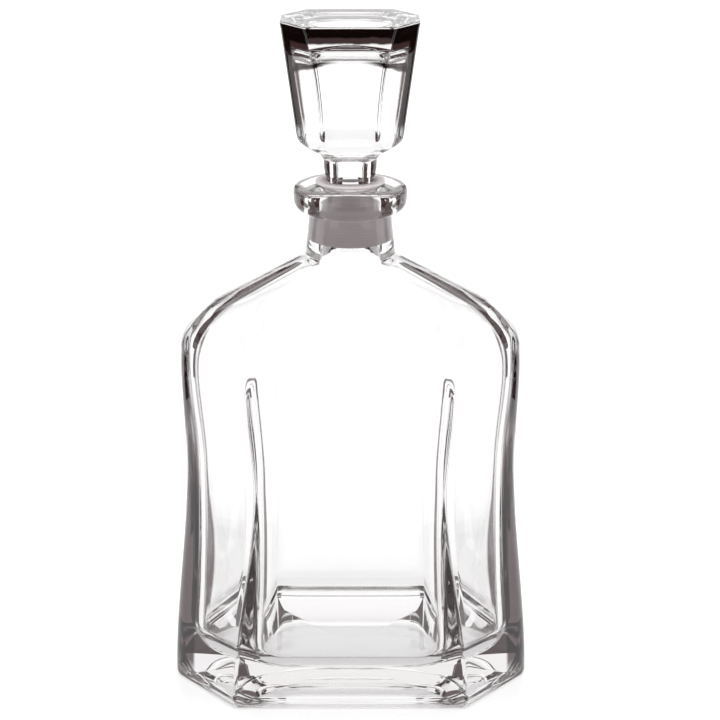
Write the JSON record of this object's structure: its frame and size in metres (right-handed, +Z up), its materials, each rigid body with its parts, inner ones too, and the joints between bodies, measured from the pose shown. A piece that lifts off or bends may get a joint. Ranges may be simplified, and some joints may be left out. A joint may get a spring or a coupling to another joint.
{
  "type": "spirits decanter",
  "caption": "Oblong clear crystal spirits decanter with hollow-cut corners, sloping shoulders, a flanged neck and a cut glass stopper sealed by a ribbed plastic collar.",
  "frame": {"origin": "on the surface the decanter stands on, under the middle of its base", "axes": "+Z up along the neck, +X along the broad faces, -Y towards the front"},
  "size_m": [0.126, 0.085, 0.2353],
  "materials": {
    "body_glass": "polished clear crystal",
    "stopper_glass": "polished clear crystal",
    "collar_plastic": "frosted translucent polyethylene"
  },
  "bodies": {
    "decanter": {"decanter_body": "body_glass"},
    "collar": {"sealing_collar": "collar_plastic"},
    "stopper": {"stopper": "stopper_glass"}
  },
  "joints": [
    {"name": "stopper_lift", "type": "slide", "parent": "decanter", "child": "collar", "axis": [0, 0, 1], "range_m": [0, 0.06]},
    {"name": "stopper_turn", "type": "hinge", "parent": "collar", "child": "stopper", "pos_m": [0, 0, 0.18], "axis": [0, 0, 1], "continuous": true}
  ]
}
